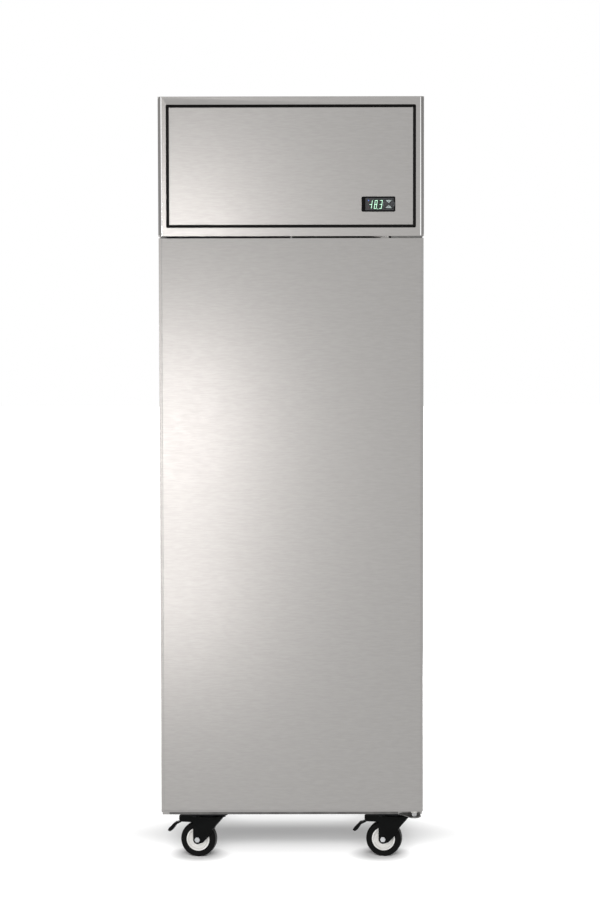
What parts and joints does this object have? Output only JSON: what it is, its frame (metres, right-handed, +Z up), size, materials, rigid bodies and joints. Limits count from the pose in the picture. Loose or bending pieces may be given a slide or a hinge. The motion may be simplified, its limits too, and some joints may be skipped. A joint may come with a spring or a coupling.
{
  "type": "upright refrigerator",
  "caption": "Upright one-door commercial freezer in brushed steel, top-mounted machinery behind a lift-up panel, on braked swivel castors.",
  "frame": {"origin": "on the floor under the middle of the cabinet, midway between controller bezel and back edge", "axes": "+Z up, -Y the way the door faces, +X to the right of someone facing the door"},
  "size_m": [0.73, 0.8407, 2.128],
  "materials": {
    "brushed_skin": "satin",
    "liner_steel": "satin",
    "galvanised": "satin",
    "foam": "matte",
    "frame_plastic": "satin",
    "gasket_rubber": "matte",
    "seal_rubber": "satin",
    "grip_plastic": "satin",
    "bush_plastic": "satin",
    "bracket_paint": "satin",
    "pin_steel": "satin",
    "zinc_steel": "satin",
    "castor_nylon": "satin",
    "hub_plastic": "satin",
    "tyre_rubber": "matte",
    "controller_plastic": "satin",
    "window_acrylic": "gloss",
    "key_plastic": "satin",
    "display_light": "gloss",
    "chromed_wire": "polished",
    "fin_aluminium": "satin",
    "copper": "satin",
    "compressor_paint": "satin",
    "fan_plastic": "satin",
    "box_plastic": "satin"
  },
  "bodies": {
    "cabinet": {"left_side_panel": "brushed_skin", "right_side_panel": "brushed_skin", "base_pan": "brushed_skin", "rear_panel": "galvanised", "machine_deck": "galvanised", "machine_cover": "galvanised", "cabinet_insulation": "foam", "inner_liner": "liner_steel", "face_frame": "frame_plastic", "hinge_brackets": "bracket_paint", "hinge_pins": "pin_steel", "fascia_frame": "brushed_skin", "panel_seal": "seal_rubber", "castor_plates": "bracket_paint", "castor_bolts": "zinc_steel", "pilasters": "liner_steel", "shelf_runners": "liner_steel", "evaporator_cover": "liner_steel", "evaporator_coil": "fin_aluminium", "condenser_coil": "fin_aluminium", "fan_shroud": "galvanised", "fan_motors": "compressor_paint", "compressor": "compressor_paint", "refrigerant_lines": "copper", "electrical_box": "box_plastic", "cable_gland": "grip_plastic"},
    "door": {"door_skin": "brushed_skin", "door_insulation": "foam", "door_liner": "liner_steel", "door_gasket": "gasket_rubber", "grip_insert": "grip_plastic", "hinge_bushes": "bush_plastic"},
    "service_panel": {"service_panel": "brushed_skin", "controller_case": "controller_plastic", "controller_window": "window_acrylic"},
    "upper_key": {"upper_key": "key_plastic"},
    "lower_key": {"lower_key": "key_plastic"},
    "condenser_fan": {"condenser_fan_blade": "fan_plastic"},
    "evaporator_fan": {"evaporator_fan_blade": "fan_plastic"},
    "shelf_1": {"wire_shelf_1": "chromed_wire"},
    "shelf_2": {"wire_shelf_2": "chromed_wire"},
    "shelf_3": {"wire_shelf_3": "chromed_wire"},
    "front_left_castor": {"front_left_fork": "castor_nylon", "front_left_axle_bolt": "zinc_steel"},
    "front_left_wheel": {"front_left_hub": "hub_plastic", "front_left_tyre": "tyre_rubber"},
    "front_left_brake": {"front_left_brake_pedal": "castor_nylon"},
    "front_right_castor": {"front_right_fork": "castor_nylon", "front_right_axle_bolt": "zinc_steel"},
    "front_right_wheel": {"front_right_hub": "hub_plastic", "front_right_tyre": "tyre_rubber"},
    "front_right_brake": {"front_right_brake_pedal": "castor_nylon"},
    "rear_left_castor": {"rear_left_fork": "castor_nylon", "rear_left_axle_bolt": "zinc_steel"},
    "rear_left_wheel": {"rear_left_hub": "hub_plastic", "rear_left_tyre": "tyre_rubber"},
    "rear_right_castor": {"rear_right_fork": "castor_nylon", "rear_right_axle_bolt": "zinc_steel"},
    "rear_right_wheel": {"rear_right_hub": "hub_plastic", "rear_right_tyre": "tyre_rubber"}
  },
  "joints": [
    {"name": "door_hinge", "type": "hinge", "parent": "cabinet", "child": "door", "pos_m": [0.341, -0.387, 0.944], "axis": [0, 0, 1], "range_deg": [0, 110]},
    {"name": "service_panel_hinge", "type": "hinge", "parent": "cabinet", "child": "service_panel", "pos_m": [0, -0.414, 2.102], "axis": [-1, 0, 0], "range_deg": [0, 80]},
    {"name": "upper_key_press", "type": "slide", "parent": "service_panel", "child": "upper_key", "axis": [0, 1, 0], "range_m": [0, 0.0006], "stiffness_N_per_m": 400},
    {"name": "lower_key_press", "type": "slide", "parent": "service_panel", "child": "lower_key", "axis": [0, 1, 0], "range_m": [0, 0.0006], "stiffness_N_per_m": 400},
    {"name": "condenser_fan_spin", "type": "hinge", "parent": "cabinet", "child": "condenser_fan", "pos_m": [-0.08, -0.156, 1.842], "axis": [0, 1, 0], "continuous": true},
    {"name": "evaporator_fan_spin", "type": "hinge", "parent": "cabinet", "child": "evaporator_fan", "pos_m": [0, 0.073, 1.586], "axis": [0, 1, 0], "continuous": true},
    {"name": "shelf_1_slide", "type": "slide", "parent": "cabinet", "child": "shelf_1", "axis": [0, -1, 0], "range_m": [0, 0.035]},
    {"name": "shelf_2_slide", "type": "slide", "parent": "cabinet", "child": "shelf_2", "axis": [0, -1, 0], "range_m": [0, 0.035]},
    {"name": "shelf_3_slide", "type": "slide", "parent": "cabinet", "child": "shelf_3", "axis": [0, -1, 0], "range_m": [0, 0.035]},
    {"name": "front_left_swivel", "type": "hinge", "parent": "cabinet", "child": "front_left_castor", "pos_m": [-0.234, -0.302, 0.11], "axis": [0, 0, 1], "continuous": true},
    {"name": "front_left_roll", "type": "hinge", "parent": "front_left_castor", "child": "front_left_wheel", "pos_m": [-0.26347, -0.29638, 0.05], "axis": [-0.1874, -0.9823, 0], "continuous": true},
    {"name": "front_left_brake_press", "type": "hinge", "parent": "front_left_castor", "child": "front_left_brake", "pos_m": [-0.30276, -0.28888, 0.105], "axis": [-0.1874, -0.9823, 0], "range_deg": [0, 12], "stiffness_Nm_per_rad": 1},
    {"name": "front_right_swivel", "type": "hinge", "parent": "cabinet", "child": "front_right_castor", "pos_m": [0.29, -0.302, 0.11], "axis": [0, 0, 1], "continuous": true},
    {"name": "front_right_roll", "type": "hinge", "parent": "front_right_castor", "child": "front_right_wheel", "pos_m": [0.26053, -0.29638, 0.05], "axis": [-0.1874, -0.9823, 0], "continuous": true},
    {"name": "front_right_brake_press", "type": "hinge", "parent": "front_right_castor", "child": "front_right_brake", "pos_m": [0.22124, -0.28888, 0.105], "axis": [-0.1874, -0.9823, 0], "range_deg": [0, 12], "stiffness_Nm_per_rad": 1},
    {"name": "rear_left_swivel", "type": "hinge", "parent": "cabinet", "child": "rear_left_castor", "pos_m": [-0.234, 0.379, 0.11], "axis": [0, 0, 1], "continuous": true},
    {"name": "rear_left_roll", "type": "hinge", "parent": "rear_left_castor", "child": "rear_left_wheel", "pos_m": [-0.26347, 0.38462, 0.05], "axis": [-0.1874, -0.9823, 0], "continuous": true},
    {"name": "rear_right_swivel", "type": "hinge", "parent": "cabinet", "child": "rear_right_castor", "pos_m": [0.29, 0.379, 0.11], "axis": [0, 0, 1], "continuous": true},
    {"name": "rear_right_roll", "type": "hinge", "parent": "rear_right_castor", "child": "rear_right_wheel", "pos_m": [0.26053, 0.38462, 0.05], "axis": [-0.1874, -0.9823, 0], "continuous": true}
  ]
}
